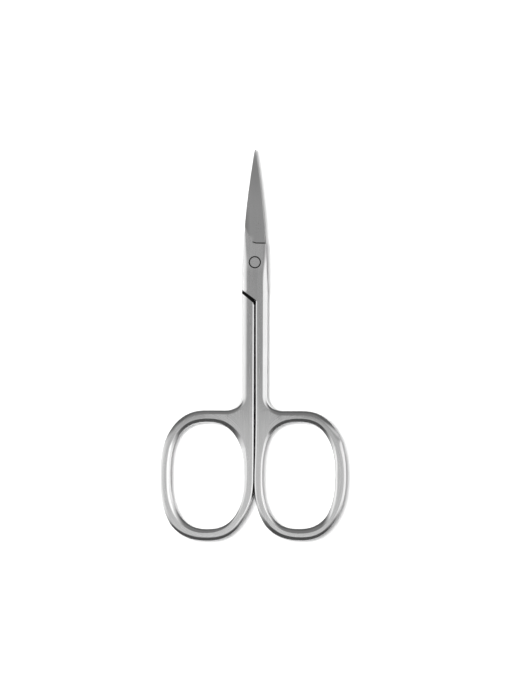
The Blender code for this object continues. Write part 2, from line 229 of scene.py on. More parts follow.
def superellipse(centre: Pair, width: float, length: float, corners: tuple[float, ...],
                 angle: np.ndarray) -> tuple[np.ndarray, np.ndarray]:
    """Squared-off ellipse: x goes as sign(cos a) |cos a|^(2 / exponent), and y the same with the sine.

    Args:
        centre: Its centre.
        width: Its full width.
        length: Its full length.
        corners: Exponents at 45, 135, 225 and 315 degrees: 2 for an ellipse, more for a fuller corner.
        angle: Angles a.

    Returns:
        x and y at each angle.
    """
    exponent = np.interp(np.degrees(angle), (45.0, 135.0, 225.0, 315.0), corners, period=360.0)
    cosine, sine = np.cos(angle), np.sin(angle)
    return (centre[0] + width / 2.0 * np.sign(cosine) * np.abs(cosine) ** (2.0 / exponent),
            centre[1] + length / 2.0 * np.sign(sine) * np.abs(sine) ** (2.0 / exponent))


def offset_loop(points: np.ndarray, near: np.ndarray) -> np.ndarray:
    """Vector at each point of a clockwise loop that moves its edges inwards by given distances.

    The inward normal of an edge lies to its right. At a gentle turn the vector is the mean normal,
    lengthened by one over its cosine; at a sharp turn it solves for both edges at once.

    Args:
        points: Loop of shape (n, 2).
        near: Distance at each point.

    Returns:
        Vectors of shape (n, 2).
    """
    sharp_turn, least_cosine, least_length = 0.3, 1e-3, 1e-9
    step = np.roll(points, -1, axis=0) - points
    step /= np.linalg.norm(step, axis=1, keepdims=True)
    second = np.stack((step[:, 1], -step[:, 0]), axis=1)
    first = np.roll(second, 1, axis=0)
    mean = first + second
    mean /= np.maximum(np.linalg.norm(mean, axis=1, keepdims=True), least_length)
    gentle = mean * (near / np.maximum((mean * first).sum(axis=1), least_cosine))[:, None]
    before = (np.roll(near, 1) + near) / 2.0
    after = (np.roll(near, -1) + near) / 2.0
    cross = first[:, 0] * second[:, 1] - first[:, 1] * second[:, 0]
    safe = np.where(np.abs(cross) < sharp_turn, 1.0, cross)
    solved = np.stack(((before * second[:, 1] - after * first[:, 1]) / safe,
                       (after * first[:, 0] - before * second[:, 0]) / safe), axis=1)
    return np.where(np.abs(cross)[:, None] < sharp_turn, gentle, solved)


def apply_modifiers(item: bpy.types.Object) -> None:
    """Put a piece's modifiers into its mesh.

    Args:
        item: The piece.
    """
    bpy.context.view_layer.update()
    graph = bpy.context.evaluated_depsgraph_get()
    mesh = bpy.data.meshes.new_from_object(item.evaluated_get(graph), depsgraph=graph)
    item.modifiers.clear()
    item.data = mesh


def shade(item: bpy.types.Object, angle: float = 12.0) -> None:
    """Smooth a piece, keep its sharp edges and weigh its normals by face area.

    Args:
        item: The piece.
        angle: Turn in degrees above which an edge stays sharp.
    """
    item.data.shade_smooth()
    item.data.set_sharp_from_angle(angle=math.radians(angle))
    modifier = item.modifiers.new("area_normals", "WEIGHTED_NORMAL")
    modifier.keep_sharp, modifier.weight, modifier.thresh = True, 100, 1e-4
    apply_modifiers(item)


# ---------------------------------------------------------------- sizes of the two halves


@dataclass(frozen=True)
class Sides:
    """Reach of each side of one half's blade and joint from the middle line."""

    edge: float
    edge_fullness: float
    spine: float
    spine_fullness: float
    notch: float
    shoulder: float


@dataclass(frozen=True)
class Stock:
    """Thicknesses and lengths that both halves share.

    The slot's walls set in over bulge_range below the crotch, and there the shoulder's cutter steps
    aside by slot_step, across and along.
    """

    plate: float = 3.0 * MM
    lap_clearance: float = 0.15 * MM
    tip_reach: float = 27.35 * MM
    notch_reach: float = 4.50 * MM
    runout_reach: float = 9.4 * MM
    joint_reach: float = 7.5 * MM
    joint_bulge: float = 0.26 * MM
    joint_power: float = 1.6
    crotch_reach: float = 9.13 * MM
    edge_reach: float = 2.52 * MM
    spine_reach: float = 2.72 * MM
    notch_half_width: float = 2.76 * MM
    tip_half_width: float = 0.12 * MM
    edge_fullness: float = 1.46
    spine_fullness: float = 1.42
    back_cover: float = 0.08 * MM
    crotch_half_gap: float = 0.20 * MM
    slot_clearance: float = 0.05 * MM
    slot_closing: float = 0.10 * MM
    slot_closing_range: Pair = (-10.4 * MM, -9.9 * MM)
    bulge_range: Pair = (0.05 * MM, 0.12 * MM)
    slot_step: Pair = (0.10 * MM, 0.07 * MM)
    shoulder_half_width: float = 3.10 * MM
    shoulder_angle: float = math.radians(36.0)
    gap_angle: float = math.radians(40.0)
    gap_at_crotch: float = 1.16 * MM
    shoulder_corner: float = 0.8 * MM

    @property
    def lap_face(self) -> float:
        """Height of the inner face of the front layer."""
        return (self.plate + self.lap_clearance) / 2.0

    def sides(self, layer: Layer) -> Sides:
        """Sides of one half; those of the back half stay a little inside the front one's.

        Args:
            layer: The half.

        Returns:
            Its sides.
        """
        if layer is Layer.FRONT:
            return Sides(self.edge_reach, self.edge_fullness, self.spine_reach, self.spine_fullness,
                         self.notch_half_width, self.shoulder_half_width)
        cover = self.back_cover
        return Sides(self.spine_reach - 2.0 * cover, self.spine_fullness, self.edge_reach - cover,
                     self.edge_fullness, self.spine_reach - cover, self.shoulder_half_width - cover)

    def shoulder_line(self, x: float) -> float:
        """Height of the slanted lower edge of a half's own joint at x."""
        return -self.crotch_reach + (self.crotch_half_gap - x) * math.tan(self.shoulder_angle)

    def gap_line(self, x: float) -> float:
        """Height of the slanted end of the other half's shank at x, a little steeper than the shoulder."""
        return (-self.crotch_reach - self.gap_at_crotch
                + (self.crotch_half_gap - x) * math.tan(self.gap_angle))

    def blade_half_width(self, y: np.ndarray, reach: float, fullness: float) -> np.ndarray:
        """Sideways reach of the blade at y: tip + (reach - tip) (1 - (1 - share)^fullness)."""
        share = ramp(self.tip_reach, self.notch_reach, y)
        return self.tip_half_width + (reach - self.tip_half_width) * (1.0 - (1.0 - share) ** fullness)


@dataclass(frozen=True)
class Rim:
    """Round between a flat and a side: its width from above, its slope at the flat and at the side.

    The side bulges outwards by a given amount at half its height.
    """

    width: float
    start: float
    end: float
    bulge: float = 0.0

    @property
    def row(self) -> np.ndarray:
        """Width, both slopes in radians and the side's bulge."""
        return np.array((self.width, self.start * DEGREE, self.end * DEGREE, self.bulge))


def between(first: np.ndarray, second: np.ndarray, share: np.ndarray) -> np.ndarray:
    """Rims that change from one to another: first + (second - first) * share.

    Args:
        first: Row of the rim at share 0.
        second: Row of the rim at share 1.
        share: Share at each point.

    Returns:
        Rows of width, first slope, last slope and bulge.
    """
    return first + (second - first) * share[:, None]


def all_round(table: Table, angle: np.ndarray) -> np.ndarray:
    """Rims round a loop, each value in line between those of the nearest two rows.

    Args:
        table: Rows of angle, width, first slope, last slope and bulge, in degrees and millimetres.
        angle: Angles in radians to look up.

    Returns:
        Rows of width, first slope, last slope and bulge.
    """
    places, *columns = (np.array(table) * (1.0, MM, DEGREE, DEGREE, MM)).T
    return np.stack([np.interp(np.degrees(angle), places, column, period=360.0)
                     for column in columns], axis=1)


@dataclass(frozen=True)
class Rims:
    """The rounded rims of joint and shank, and how they change along them."""

    shank: Rim
    notch: Rim = Rim(1.10 * MM, 0.0, 11.0)
    notch_power: float = 2.3
    notch_widening: float = 2.0
    notch_fade: float = 3.0 * MM
    spine: Rim = Rim(1.45 * MM, 0.0, 89.0)
    spine_top: float = 9.0 * MM
    slot: Rim = Rim(0.34 * MM, 12.0, 50.0)
    edge: Rim = Rim(0.07 * MM, 0.0, 90.0)
    fillet_pace: float = 1.4
    fillet_power: float = 1.5


@dataclass(frozen=True)
class Bow:
    """Outline of one finger bow and its hole, drawn to the right of the rivet's axis.

    The rims are tables for all_round. The slot's rows hold a place along the shank and the half
    width of the gap there, in millimetres.
    """

    outer_rims: Table
    hole_rims: Table
    reach: float
    length: float
    width: float
    wall_at_top: float
    wall_at_bottom: float
    wall_at_centre: float
    wall_outside: float
    half_gap: float
    slot: Table
    corners: tuple[float, ...]
    hole_corners: tuple[float, ...]
    fillet: float = 3.6 * MM

    @property
    def centre(self) -> Pair:
        """Centre of the bow."""
        return self.half_gap + self.width / 2.0, -self.reach - self.length / 2.0

    def outline(self, angle: np.ndarray) -> tuple[np.ndarray, np.ndarray]:
        """Outer edge of the bow at each angle."""
        return superellipse(self.centre, self.width, self.length, self.corners, angle)

    def hole(self, angle: np.ndarray) -> tuple[np.ndarray, np.ndarray]:
        """Edge of the finger hole.

        Args:
            angle: Angles to look up.

        Returns:
            x and y at each angle.
        """
        width = self.width - self.wall_at_centre - self.wall_outside
        length = self.length - self.wall_at_top - self.wall_at_bottom
        centre = (self.half_gap + self.wall_at_centre + width / 2.0,
                  -self.reach - self.wall_at_top - length / 2.0)
        return superellipse(centre, width, length, self.hole_corners, angle)


RIGHT_BOW = Bow(
    outer_rims=((-165, 0.34, 12, 50, 0.28), (-150, 0.67, 18, 48, 0), (-135, 1.00, 24, 46, 0),
                (-90, 0.80, 24, 44, 0), (-45, 0.66, 18, 44, 0), (0, 0.58, 5, 44, 0), (14, 0.70, 5, 40, 0),
                (30, 1.20, 2, 9, 0), (60, 1.30, 8, 44, 0), (90, 1.25, 6, 50, 0), (180, 0.34, 12, 50, 0.02)),
    hole_rims=((0, 0.62, 8, 62, 0), (30, 0.72, 22, 50, 0), (50, 0.84, 26, 50, 0), (90, 0.95, 26, 50, 0),
               (135, 0.80, 26, 48, 0), (160, 0.40, 15, 45, 0), (180, 0.48, 3, 45, 0), (225, 0.70, 12, 42, 0),
               (270, 1.10, 22, 41, 0), (300, 1.10, 22, 41, 0), (330, 0.80, 8, 50, 0)),
    reach=35.98 * MM, length=31.42 * MM, width=22.22 * MM, wall_at_top=2.82 * MM,
    wall_at_bottom=2.77 * MM, wall_at_centre=1.91 * MM, wall_outside=2.66 * MM, half_gap=0.07 * MM,
    slot=((-46.0, 0.24), (-38.5, 0.34), (-33.0, 0.33), (-14.0, 0.25)),
    corners=(2.30, 2.40, 2.62, 2.20), hole_corners=(2.42, 2.64, 2.40, 2.55))
LEFT_BOW = Bow(
    outer_rims=((-165, 0.34, 12, 50, 0.38), (-150, 0.62, 11, 48, 0), (-135, 0.90, 10, 45, 0),
                (-90, 1.05, 8, 44, 0), (-45, 0.50, 26, 44, 0), (0, 0.80, 3, 42, 0), (45, 1.20, 8, 46, 0),
                (90, 1.05, 6, 52, 0), (180, 0.34, 12, 50, 0.14)),
    hole_rims=((0, 1.32, 3, 50, 0), (18, 1.25, 6, 50, 0), (35, 0.95, 24, 48, 0), (55, 0.90, 26, 50, 0),
               (90, 1.02, 26, 52, 0), (120, 1.00, 26, 48, 0), (140, 1.15, 26, 44, 0), (155, 1.05, 22, 44, 0),
               (162, 0.90, 8, 45, 0), (180, 0.85, 0, 45, 0), (225, 0.35, 12, 45, 0), (270, 0.92, 22, 41, 0),
               (315, 1.15, 14, 42, 0)),
    reach=35.88 * MM, length=31.63 * MM, width=22.54 * MM, wall_at_top=3.04 * MM,
    wall_at_bottom=2.77 * MM, wall_at_centre=2.24 * MM, wall_outside=2.58 * MM, half_gap=0.19 * MM,
    slot=((-46.0, 0.15), (-14.0, 0.16)),
    corners=(2.30, 2.40, 2.25, 2.60), hole_corners=(2.58, 2.43, 2.42, 2.38))


@dataclass(frozen=True)
class Grinding:
    """The ground face of a blade, its notch, its cutting edge, its hollow and the broken edges."""

    allowance: float = 0.4 * MM
    heel: float = 0.7 * MM
    root: float = 0.45 * MM
    edge_at_notch: float = 1.18 * MM
    edge_at_tip: float = 0.65 * MM
    spine_at_tip: float = 0.72 * MM
    taper_power: float = 1.5
    keen: float = 0.10 * MM
    bevel_width: float = 0.06 * MM
    notch_fillet: float = 0.38 * MM
    notch_curl: float = 0.35 * MM
    curl_range: Pair = (0.4 * MM, -0.9 * MM)
    hollow_start: float = 6.2 * MM
    hollow_end: float = 21.5 * MM
    hollow_depth: float = 0.12 * MM
    hollow_radius: float = 12.0 * MM
    flare: float = 0.03 * MM
    lip: float = 0.02 * MM


# ---------------------------------------------------------------- the two halves


@dataclass(frozen=True)
class ScissorHalf:
    """One forged half: blank with rounded rims, lapped, ground, hollowed and bored."""

    layer: Layer
    stock: Stock
    bow: Bow
    rims: Rims
    grinding: Grinding
    shank_half_width: float
    collection: bpy.types.Collection

    @property
    def sides(self) -> Sides:
        """Sides of this half's blade and joint."""
        return self.stock.sides(self.layer)

    def edge_x(self, y: np.ndarray) -> np.ndarray:
        """Reach of the cutting side, with a small root that widens it to the joint.

        Args:
            y: Places along the blade.

        Returns:
            The reach at each place.
        """
        sides, notch = self.sides, self.stock.notch_reach
        root = (sides.notch - sides.edge) * smoothstep(notch + self.grinding.root, notch, y)
        return root + self.stock.blade_half_width(y, sides.edge, sides.edge_fullness)

    def spine_x(self, y: np.ndarray) -> np.ndarray:
        """Reach of the spine at y."""
        return self.stock.blade_half_width(y, self.sides.spine, self.sides.spine_fullness)

    def cutting_rim(self, y: np.ndarray) -> np.ndarray:
        """Rim of the joint on the cutting side: a shallow crown at the notch, a full round at the shank.

        Args:
            y: Places along the joint.

        Returns:
            Rows of width, first slope, last slope and bulge.
        """
        rims, notch, shank = self.rims, self.rims.notch.row, self.rims.shank.row
        reach = self.stock.notch_reach
        share = ramp(reach, -self.stock.crotch_reach, y)
        rows = between(notch, shank, share ** rims.notch_power)
        width = between(notch, shank, np.minimum(rims.notch_widening * share, 1.0))[:, 0]
        fade = smoothstep(reach + rims.notch_fade, reach, y)
        rows[:, 0] = np.maximum(width * fade, rims.edge.width)
        return rows

    def spine_rim(self, y: np.ndarray) -> np.ndarray:
        """Rim of the joint on the spine side, which dies out where the ground face takes it over."""
        return between(self.rims.edge.row, self.rims.spine.row, ramp(self.rims.spine_top, 0.0, y))

    def outside(self) -> np.ndarray:
        """Cutting side, joint, shank and bow, from the tip round to the bow's inner side.

        Returns:
            Rows of x, y and the rim's four values.
        """
        stock, rims, bow, wide = self.stock, self.rims, self.bow, self.shank_half_width
        y = np.linspace(stock.tip_reach, stock.notch_reach, POINTS.blade, endpoint=False)
        blade = np.column_stack((self.edge_x(y) + self.grinding.allowance, y, self.cutting_rim(y)))
        share = np.linspace(0.0, 1.0, POINTS.joint)
        y = stock.notch_reach - (stock.notch_reach + stock.joint_reach) * share
        x = self.sides.notch + (wide - self.sides.notch) * share ** stock.joint_power
        joint = np.column_stack((x, y, self.cutting_rim(y)))
        y = np.linspace(-stock.joint_reach, -bow.reach + bow.fillet, POINTS.joint)[1:-1]
        shank = np.column_stack((np.full_like(y, wide), y, self.cutting_rim(y)))
        share = np.linspace(0.0, 1.0, POINTS.fillet)
        turn = math.pi * (1.0 + share / 2.0)
        top = all_round(bow.outer_rims, np.array([math.pi / 2.0]))[0]
        change = np.minimum(rims.fillet_pace * share, 1.0) ** rims.fillet_power
        fillet = np.column_stack((wide + bow.fillet * (1.0 + np.cos(turn)),
                                  -bow.reach + bow.fillet * (1.0 + np.sin(turn)),
                                  between(rims.shank.row, top, change)))
        turn = np.linspace(math.pi / 2.0, -math.pi, POINTS.bow)
        ring = np.column_stack((*bow.outline(turn), all_round(bow.outer_rims, turn)))
        return np.concatenate((blade, joint, shank, fillet, ring))

    def inside(self) -> np.ndarray:
        """Inner side of the shank, crotch, joint and spine, up to the tip; the shoulder is cut later.

        The slot's walls bulge at half height until only the slot's clearance is left, and close up
        just below the crotch.

        Returns:
            Rows of x, y and the rim's four values.
        """
        stock, rims, bow, shoulder = self.stock, self.rims, self.bow, self.sides.shoulder
        edge, crotch = rims.edge.row, -stock.crotch_reach
        below = crotch - rims.slot.width
        y = np.concatenate((np.linspace(bow.centre[1], below, POINTS.slot)[1:-1],
                            np.linspace(below, crotch, POINTS.crotch)))
        gap = np.interp(y, *np.vstack(((bow.centre[1], bow.half_gap), np.array(bow.slot) * MM)).T)
        rows = between(edge, rims.slot.row, smoothstep(crotch, below, y))
        clearance = stock.slot_clearance - stock.slot_closing * smoothstep(*stock.slot_closing_range, y)
        first, full = stock.bulge_range
        rows[:, 3] = (gap - clearance) * smoothstep(crotch - first, crotch - full, y)
        shank = np.column_stack((gap, y, rows))
        low = stock.shoulder_line(-shoulder)
        top = float(self.spine_x(np.array(stock.runout_reach)))
        y = np.linspace(low, stock.runout_reach, POINTS.slot)
        share = ramp(low, stock.runout_reach, y)
        x = shoulder + (top - shoulder) * share + 4.0 * stock.joint_bulge * share * (1.0 - share)
        joint = np.column_stack((-x, y, self.spine_rim(y)))
        y = np.linspace(stock.runout_reach, stock.tip_reach, POINTS.blade)[1:]
        spine = np.column_stack((-self.spine_x(y), y, np.tile(edge, (len(y), 1))))
        return np.concatenate((shank, [[-shoulder, crotch, *edge]], joint, spine))

    def hole(self) -> np.ndarray:
        """Finger hole, as rows of x, y and the rim's four values."""
        turn = np.linspace(0.0, 2.0 * math.pi, POINTS.hole, endpoint=False)
        return np.column_stack((*self.bow.hole(turn), all_round(self.bow.hole_rims, turn)))

    def rim_rings(self, outline: np.ndarray) -> np.ndarray:
        """Carry the rim's profile, an arc, round a loop.

        The slope a runs from S at the flat to E at the side. The inset is
        width (1 - (sin a - sin S) / (sin E - sin S)), and the drop below the flat is
        width (cos S - cos a) / (sin E - sin S).

        Args:
            outline: Rows of x, y, rim width, the slopes S and E and the side's bulge.

        Returns:
            Rings of shape (levels, points, 3), from the upper flat to the lower flat.
        """
        plate, loop = self.stock.plate, outline[:, :2]
        inward = offset_loop(loop, outline[:, 2])
        width, start, end, bulge = outline[:, 2:].T
        slope = start + (end - start) * np.linspace(0.0, 1.0, POINTS.rim + 1)[:, None]
        slope = np.concatenate((slope, slope[::-1]))
        upper = np.arange(len(slope))[:, None] <= POINTS.rim
        spread = np.sin(end) - np.sin(start)
        inset = 1.0 - (np.sin(slope) - np.sin(start)) / spread
        drop = width * (np.cos(start) - np.cos(slope)) / spread
        height = np.where(upper, plate - drop, drop)
        rings = np.concatenate((loop + inward * inset[..., None], height[..., None]), axis=-1)
        middle = np.column_stack((loop - offset_loop(loop, bulge), np.full(len(loop), plate / 2.0)))
        return np.insert(rings, POINTS.rim + 1, middle, axis=0)

    def blank(self, name: str) -> bpy.types.Object:
        """Full-thickness blank with rounded rims and a finger hole.

        Args:
            name: Name of the object.

        Returns:
            The closed blank.
        """
        bm = bmesh.new()
        uppers, lowers = [], []
        for outline in (np.concatenate((self.outside(), self.inside())), self.hole()):
            rings = self.rim_rings(outline)
            points, quads = loft(rings)
            verts = [bm.verts.new(point) for point in points.tolist()]
            for quad in quads.tolist():
                bm.faces.new([verts[corner] for corner in quad])
            around = rings.shape[1]
            for edges, ring in ((uppers, verts[:around]), (lowers, verts[-around:])):
                edges += [bm.edges.get((ring[corner - 1], ring[corner])) for corner in range(around)]
        for edges in (uppers, lowers):
            bmesh.ops.triangle_fill(bm, use_beauty=True, edges=edges)
        return new_object(name, bpy.data.meshes.new(name), bm, self.collection)

    def flared_cutter(self, name: str, loop: np.ndarray, outward: np.ndarray,
                      above: tuple[Pair, ...]) -> bpy.types.Object:
        """Upright cutter over a loop, flared at the lower face so that it breaks the sharp edge there.

        Args:
            name: Name of the object.
            loop: Its points, of shape (n, 2).
            outward: Unit offsets of the points.
            above: How far it is widened at each level above the lower flare, and that level's height.

        Returns:
            The cutter.
        """
        flare, lip = self.grinding.flare, self.grinding.lip
        below = ((flare + lip, -OVERRUN), (flare + lip, -lip), (0.0, flare))
        rings = [np.column_stack((loop + outward * wide, np.full(len(loop), height)))
                 for wide, height in (*below, *above)]
        return capped(name, np.array(rings), self.collection)

    def shoulder_cutter(self) -> bpy.types.Object:
        """Cutter below the slanted shoulder of the joint, flared at both faces.

        Just below the crotch it steps aside, so that it stays clear of the slot.

        Returns:
            The cutter.
        """
        stock, flare, lip = self.stock, self.grinding.flare, self.grinding.lip
        gap, crotch = stock.crotch_half_gap, -stock.crotch_reach
        aside, down = stock.slot_step
        loop = np.array([(gap, crotch), (-aside, crotch - down), (-aside, -FAR), (-FAR, -FAR),
                         (-FAR, stock.shoulder_line(-FAR))])
        outward = -offset_loop(loop, np.array([1.0, 0.0, 0.0, 0.0, 1.0]))
        outward[0] = math.sin(stock.shoulder_angle), math.cos(stock.shoulder_angle)
        top = stock.plate
        return self.flared_cutter("shoulder_cutter", loop, outward, (
            (0.0, top - flare), (flare + lip, top + lip), (flare + lip, top + OVERRUN)))

    def lap_cutter(self) -> bpy.types.Object:
        """Cutter for the other half's layer; its edge turns down from the gap round a corner.

        Returns:
            The cutter.
        """
        stock, angle, corner = self.stock, self.stock.gap_angle, self.stock.shoulder_corner
        end = math.pi - angle / 3.0
        centre_x = stock.crotch_half_gap - corner * math.cos(end)
        centre_y = stock.gap_line(-centre_x) - corner / math.cos(angle)
        turn = np.linspace(math.pi / 2.0 + angle, end, POINTS.corner)
        arc = np.column_stack((centre_x + corner * np.cos(turn), centre_y + corner * np.sin(turn)))
        x, y = arc[-1]
        loop = np.concatenate((
            [(FAR, FAR), (FAR, stock.gap_line(-FAR))], arc,
            [(x - OVERRUN * math.sin(end), y + OVERRUN * math.cos(end)),
             (-FAR, y + OVERRUN * math.tan(angle)), (-FAR, FAR)]))
        return self.flared_cutter("lap_cutter", loop, -offset_loop(loop, np.ones(len(loop))),
                                  ((0.0, stock.lap_face),))

    def ground_height(self, x: np.ndarray, y: np.ndarray) -> np.ndarray:
        """Height of the ground face: a straight line from the spine down to the cutting edge's bevel.

        Up to the run-out the line starts on the joint's flat, along a slant from the heel of the notch.

        Args:
            x: Places across the blade.
            y: Places along the blade.

        Returns:
            The height at each place.
        """
        stock, grind = self.stock, self.grinding
        blade = ramp(stock.notch_reach, stock.tip_reach, y) ** grind.taper_power
        runout = ramp(stock.notch_reach, stock.runout_reach, y)
        beyond = ramp(stock.runout_reach, stock.tip_reach, y) ** grind.taper_power
        low = stock.lap_face + grind.edge_at_notch + (grind.edge_at_tip - grind.edge_at_notch) * blade
        high = stock.plate - (stock.plate - stock.lap_face - grind.spine_at_tip) * beyond
        start = -grind.heel - (self.spine_x(y) - grind.heel) * runout
        shoulder = self.edge_x(y) - grind.bevel_width
        height = high + (low - high) * (x - start) / (shoulder - start)
        keen = stock.lap_face + grind.keen
        return np.where(x > shoulder, low + (keen - low) * (x - shoulder) / grind.bevel_width, height)

    def grinding_cutter(self) -> bpy.types.Object:
        """Loft along the blade of what the grinding takes away.

        Ring i lies at y_i; near the notch a ring curls towards the tip at its heel end, and its floor
        comes down from the joint's flat as a quarter round of the notch's fillet.

        Returns:
            The cutter.
        """
        stock, grind = self.stock, self.grinding
        before, before_depth = 1e-5, -0.1
        turn = np.linspace(0.0, math.pi / 2.0, POINTS.foot)
        fillet = stock.notch_reach + grind.notch_fillet * (1.0 - np.cos(turn))
        runout = np.linspace(fillet[-1], stock.runout_reach, POINTS.runout)[1:]
        blade = np.linspace(stock.runout_reach, stock.tip_reach, POINTS.ground)[1:]
        y = np.concatenate(([fillet[0] - before], fillet, runout, blade, [stock.tip_reach + OVERRUN]))
        depth = np.concatenate(([before_depth], np.sin(turn), np.ones(len(runout) + len(blade) + 1)))
        spine, right = self.spine_x(y)[:, None], self.edge_x(y)[:, None]
        across = np.linspace(0.0, 1.0, POINTS.across)[None, :]
        shoulder = right - grind.bevel_width
        x = np.concatenate((-spine - OVERRUN, -spine + (shoulder + spine) * across, right), axis=1)
        curl = smoothstep(*grind.curl_range, x) * grind.notch_curl
        places = y[:, None] + curl * (1.0 - smoothstep(stock.notch_reach, stock.runout_reach, y)[:, None])
        ground = self.ground_height(x, np.minimum(places, stock.tip_reach))
        floor = np.where(ground < stock.plate, stock.plate + (ground - stock.plate) * depth[:, None], ground)
        low, high = np.full_like(right, -OVERRUN), np.full_like(right, stock.plate + 2.0 * OVERRUN)
        bottom = np.stack((x, places, floor), axis=-1)
        top = np.stack((x, places, high + 0.0 * x), axis=-1)[:, ::-1]
        end, out = places[:, -1:], right + OVERRUN
        side = np.stack([np.concatenate((px, end, pz), axis=1)
                         for px, pz in ((right, low), (out, low), (out, high))], axis=1)
        points, quads = loft(np.concatenate((bottom, side, top), axis=1))
        wide = bottom.shape[1]
        around = 2 * wide + 3
        faces = quads.tolist()
        for base in (0, len(points) - around):
            lower = base + np.arange(wide)
            upper = base + around - 1 - np.arange(wide)
            faces += np.stack((lower[:-1], lower[1:], upper[1:], upper[:-1]), axis=1).tolist()
            faces.append([base + corner for corner in range(wide - 1, wide + 4)])
        return closed_form("grinding_cutter", points, faces, self.collection)

    def hollow_cutter(self) -> bpy.types.Object:
        """Large tilted cylinder that hollows the inner face, deepest near the joint.

        Returns:
            The cutter.
        """
        grind = self.grinding
        share = np.linspace(0.0, 1.0, 3)[:, None]
        angle = np.linspace(0.0, 2.0 * math.pi, POINTS.hollow, endpoint=False)[None, :]
        middle = self.stock.lap_face + grind.hollow_depth * (1.0 - share) - grind.hollow_radius
        along = grind.hollow_start + (grind.hollow_end - grind.hollow_start) * share
        rings = np.stack((grind.hollow_radius * np.cos(angle) + 0.0 * share, along + 0.0 * angle,
                          middle + grind.hollow_radius * np.sin(angle)), axis=-1)
        return capped("hollow_cutter", rings, self.collection)

    def finish(self, item: bpy.types.Object) -> None:
        """Turn the back half over, then shade flats flat and rims smooth.

        Args:
            item: The cut piece.
        """
        bm = bmesh.new()
        bm.from_mesh(item.data)
        weld(bm)
        if self.layer is Layer.BACK:
            bmesh.ops.rotate(bm, verts=bm.verts, cent=(0, 0, self.stock.plate / 2.0),
                             matrix=Matrix.Rotation(math.pi, 3, "Y"))
        bmesh.ops.triangulate(bm, faces=bm.faces)
        bm.to_mesh(item.data)
        bm.free()
        shade(item)

    def build(self, name: str, bore: np.ndarray) -> bpy.types.Object:
        """Make the half: take each cutter out of the blank in turn, then finish it.

        Args:
            name: Name of the piece.
            bore: Profile of the rivet's bore in this half.

        Returns:
            The finished, undressed piece.
        """
        item = self.blank(name)
        for cutter in (self.shoulder_cutter(), self.lap_cutter(), self.grinding_cutter(),
                       self.hollow_cutter(), capped("bore_cutter", revolve(bore), self.collection)):
            modifier = item.modifiers.new(cutter.name, "BOOLEAN")
            modifier.operation, modifier.solver, modifier.object = "DIFFERENCE", "EXACT", cutter
            apply_modifiers(item)
            bpy.data.objects.remove(cutter)
        self.finish(item)
        return item


@dataclass(frozen=True)
class PivotRivet:
    """Rivet with a flush head in front and a countersunk tail behind."""

    stock: Stock
    head_radius: float = 1.25 * MM
    head_depth: float = 0.6 * MM
    shaft_radius: float = 0.9 * MM
    tail_radius: float = 1.15 * MM
    tail_depth: float = 0.5 * MM
    edge: float = 0.04 * MM
    running: float = 0.16 * MM
    seat: float = 0.08 * MM
    snug: float = 0.05 * MM

    def front_bore(self) -> np.ndarray:
        """Stepped bore of the front half, from above to below, with its mouth broken.

        Returns:
            Rows of radius and height.
        """
        top = self.stock.plate
        head, shaft = self.head_radius + self.running, self.shaft_radius + self.snug
        floor = top - self.head_depth - self.seat
        return np.array([(head + self.edge + OVERRUN, top + OVERRUN), (head + self.edge, top),
                         (head, top - self.edge), (head, floor), (shaft, floor), (shaft, -OVERRUN)])

    def back_bore(self) -> np.ndarray:
        """Bore of the back half, countersunk for the tail, in that half's own heights.

        Returns:
            Rows of radius and height.
        """
        top = self.stock.plate
        tail, shaft = self.tail_radius + self.snug, self.shaft_radius + self.snug
        flare = (tail - shaft) / self.tail_depth
        return np.array([(tail + flare * OVERRUN, top + OVERRUN), (shaft, top - self.tail_depth),
                         (shaft, -OVERRUN)])

    def build(self, name: str, collection: bpy.types.Collection) -> bpy.types.Object:
        """Turn the rivet, with a small round at the rim of its head.

        Args:
            name: Name of the piece.
            collection: Where the piece is linked.

        Returns:
            The finished, undressed piece.
        """
        top = self.stock.plate
        turn = np.linspace(0.0, math.pi / 2.0, POINTS.turned_edge)[:, None]
        rounded = np.concatenate((self.head_radius - self.edge * (1.0 - np.sin(turn)),
                                  top - self.edge * (1.0 - np.cos(turn))), axis=1)
        profile = np.concatenate((rounded, [
            (self.head_radius, top - self.head_depth), (self.shaft_radius, top - self.head_depth),
            (self.shaft_radius, self.tail_depth), (self.tail_radius, 0.0)]))
        item = capped(name, revolve(profile), collection)
        shade(item)
        return item


# ---------------------------------------------------------------- finishes


def grey(value: float) -> Grey:
    """Opaque grey."""
    return value, value, value, 1.0


